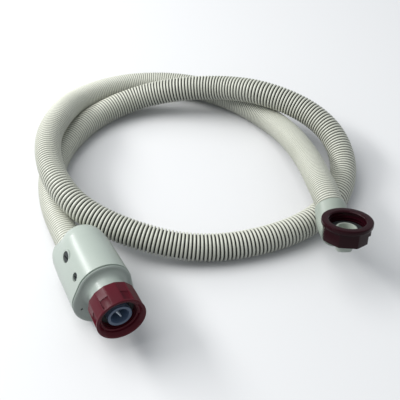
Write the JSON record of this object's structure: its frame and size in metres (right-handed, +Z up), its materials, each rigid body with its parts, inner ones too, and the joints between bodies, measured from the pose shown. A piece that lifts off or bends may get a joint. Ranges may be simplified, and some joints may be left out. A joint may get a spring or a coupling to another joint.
{
  "type": "safety inlet hose",
  "caption": "Double-walled washing machine inlet hose with a leak-closing valve housing at the tap end and an elbow at the machine end, each with a coupling nut.",
  "frame": {"origin": "on the surface it lies on, midway between the valve housing and the elbow in X, and at the middle of both ends in Y", "axes": "+Z up from the surface, -Y towards the valve housing's nut, +X towards the elbow"},
  "size_m": [0.2498, 0.3048, 0.0591],
  "materials": {
    "jacket": "satin",
    "hose": "matte",
    "housing": "satin",
    "sleeve": "satin",
    "nut": "satin",
    "moulding": "satin",
    "rubber": "matte",
    "steel": "satin",
    "screw": "satin",
    "felt": "matte"
  },
  "bodies": {
    "hose": {"elbow": "sleeve", "end_sleeve": "sleeve", "front_cap": "housing", "holding_spring": "steel", "hose_gland": "housing", "housing_screw_front": "screw", "housing_screw_rear": "screw", "housing_shell": "housing", "inlet_filter": "moulding", "inner_hose": "hose", "machine_ferrule": "steel", "machine_washer": "rubber", "outer_hose": "jacket", "swell_pad": "felt", "tap_ferrule": "steel", "tap_washer": "rubber", "trigger_cage": "moulding", "valve_body": "moulding"},
    "tap_nut": {"tap_nut": "nut"},
    "machine_nut": {"machine_nut": "nut"},
    "valve": {"valve_poppet": "moulding", "poppet_seal": "rubber", "trigger_plunger": "moulding"}
  },
  "joints": [
    {"name": "tap_nut_turn", "type": "hinge", "parent": "hose", "child": "tap_nut", "pos_m": [-0.05591, -0.05228, 0.03094], "axis": [0.4226, -0.9063, 0], "continuous": true},
    {"name": "machine_nut_turn", "type": "hinge", "parent": "hose", "child": "machine_nut", "pos_m": [0.0911, 0.01414, 0.0547], "axis": [0.0495, 0.265, 0.963], "continuous": true},
    {"name": "valve_slide", "type": "slide", "parent": "hose", "child": "valve", "axis": [-0.4226, 0.9063, 0], "range_m": [0, 0.0035], "stiffness_N_per_m": 400, "springref_m": -0.002, "deforming": ["holding_spring"]}
  ]
}
